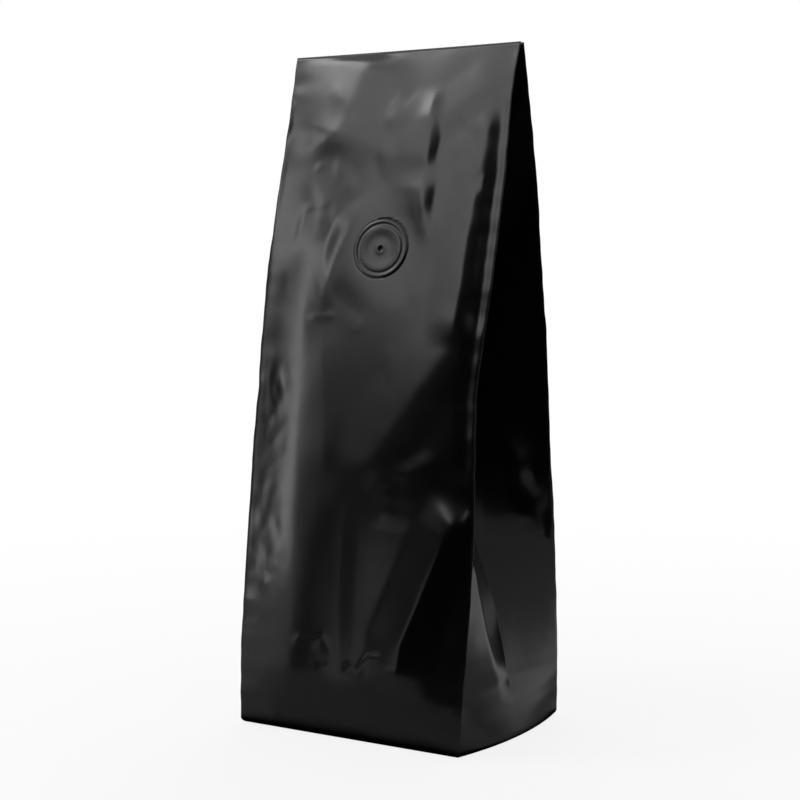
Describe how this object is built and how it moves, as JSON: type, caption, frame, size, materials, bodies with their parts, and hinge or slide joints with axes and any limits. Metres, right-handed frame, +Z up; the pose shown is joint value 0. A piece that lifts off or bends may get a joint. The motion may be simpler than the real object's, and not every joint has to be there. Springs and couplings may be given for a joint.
{
  "type": "coffee bag",
  "caption": "Shut side-gusset coffee bag of plain dark film, standing on a squared base, with a flat pressed top and a round degassing valve on its front.",
  "frame": {"origin": "on the ground, under the middle of the bag", "axes": "+Z up along the bag's height, +X along its width towards the right gusset, -Y out of the front panel that carries the valve"},
  "size_m": [0.1144, 0.0877, 0.277],
  "materials": {
    "film": "matte laminated film with a satin sheen",
    "valve": "matte moulded plastic"
  },
  "bodies": {
    "root": {"bag": "film", "valve": "valve"}
  },
  "joints": []
}
